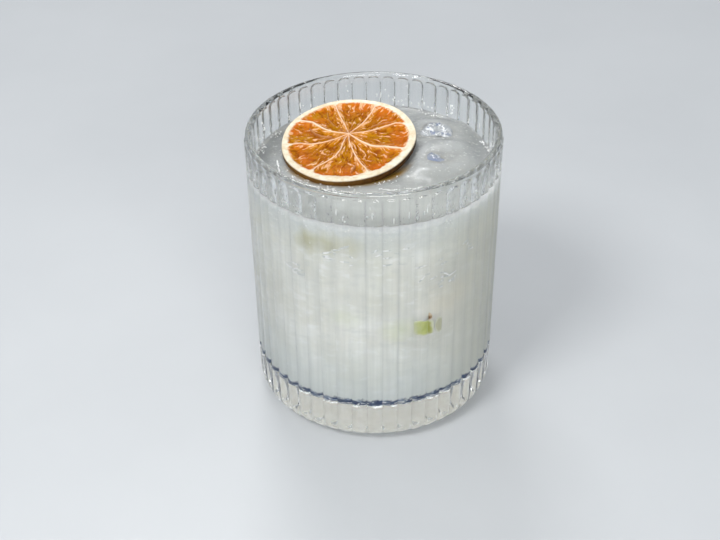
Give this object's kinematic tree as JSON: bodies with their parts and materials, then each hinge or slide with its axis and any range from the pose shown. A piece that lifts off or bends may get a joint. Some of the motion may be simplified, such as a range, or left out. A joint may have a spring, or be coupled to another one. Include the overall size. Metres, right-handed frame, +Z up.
{
  "type": "caipiroska in a reeded tumbler",
  "caption": "Cloudy lime cocktail in a thick reeded glass tumbler, with ice lumps standing out of the drink and a dried citrus wheel leaning on the ice.",
  "frame": {"origin": "middle of the foot, on the surface that the glass stands on", "axes": "+Z up along the glass, +Y away from the viewer, +X to the viewer's right"},
  "size_m": [0.0818, 0.082, 0.096],
  "materials": {
    "clear_glass": "clear, polished, pressed with fine upright reeds",
    "cloudy_drink": "milky greyish white liquid with a wet surface",
    "ice": "wet, half melted and slightly cloudy",
    "dried_citrus": "dried amber flesh with a cream pith ring and a brown rind"
  },
  "bodies": {
    "root": {"glass_tumbler": "clear_glass", "drink": "cloudy_drink", "ice_back": "ice", "ice_front": "ice", "ice_under_wheel": "ice", "dried_citrus_wheel": "dried_citrus"}
  },
  "joints": []
}
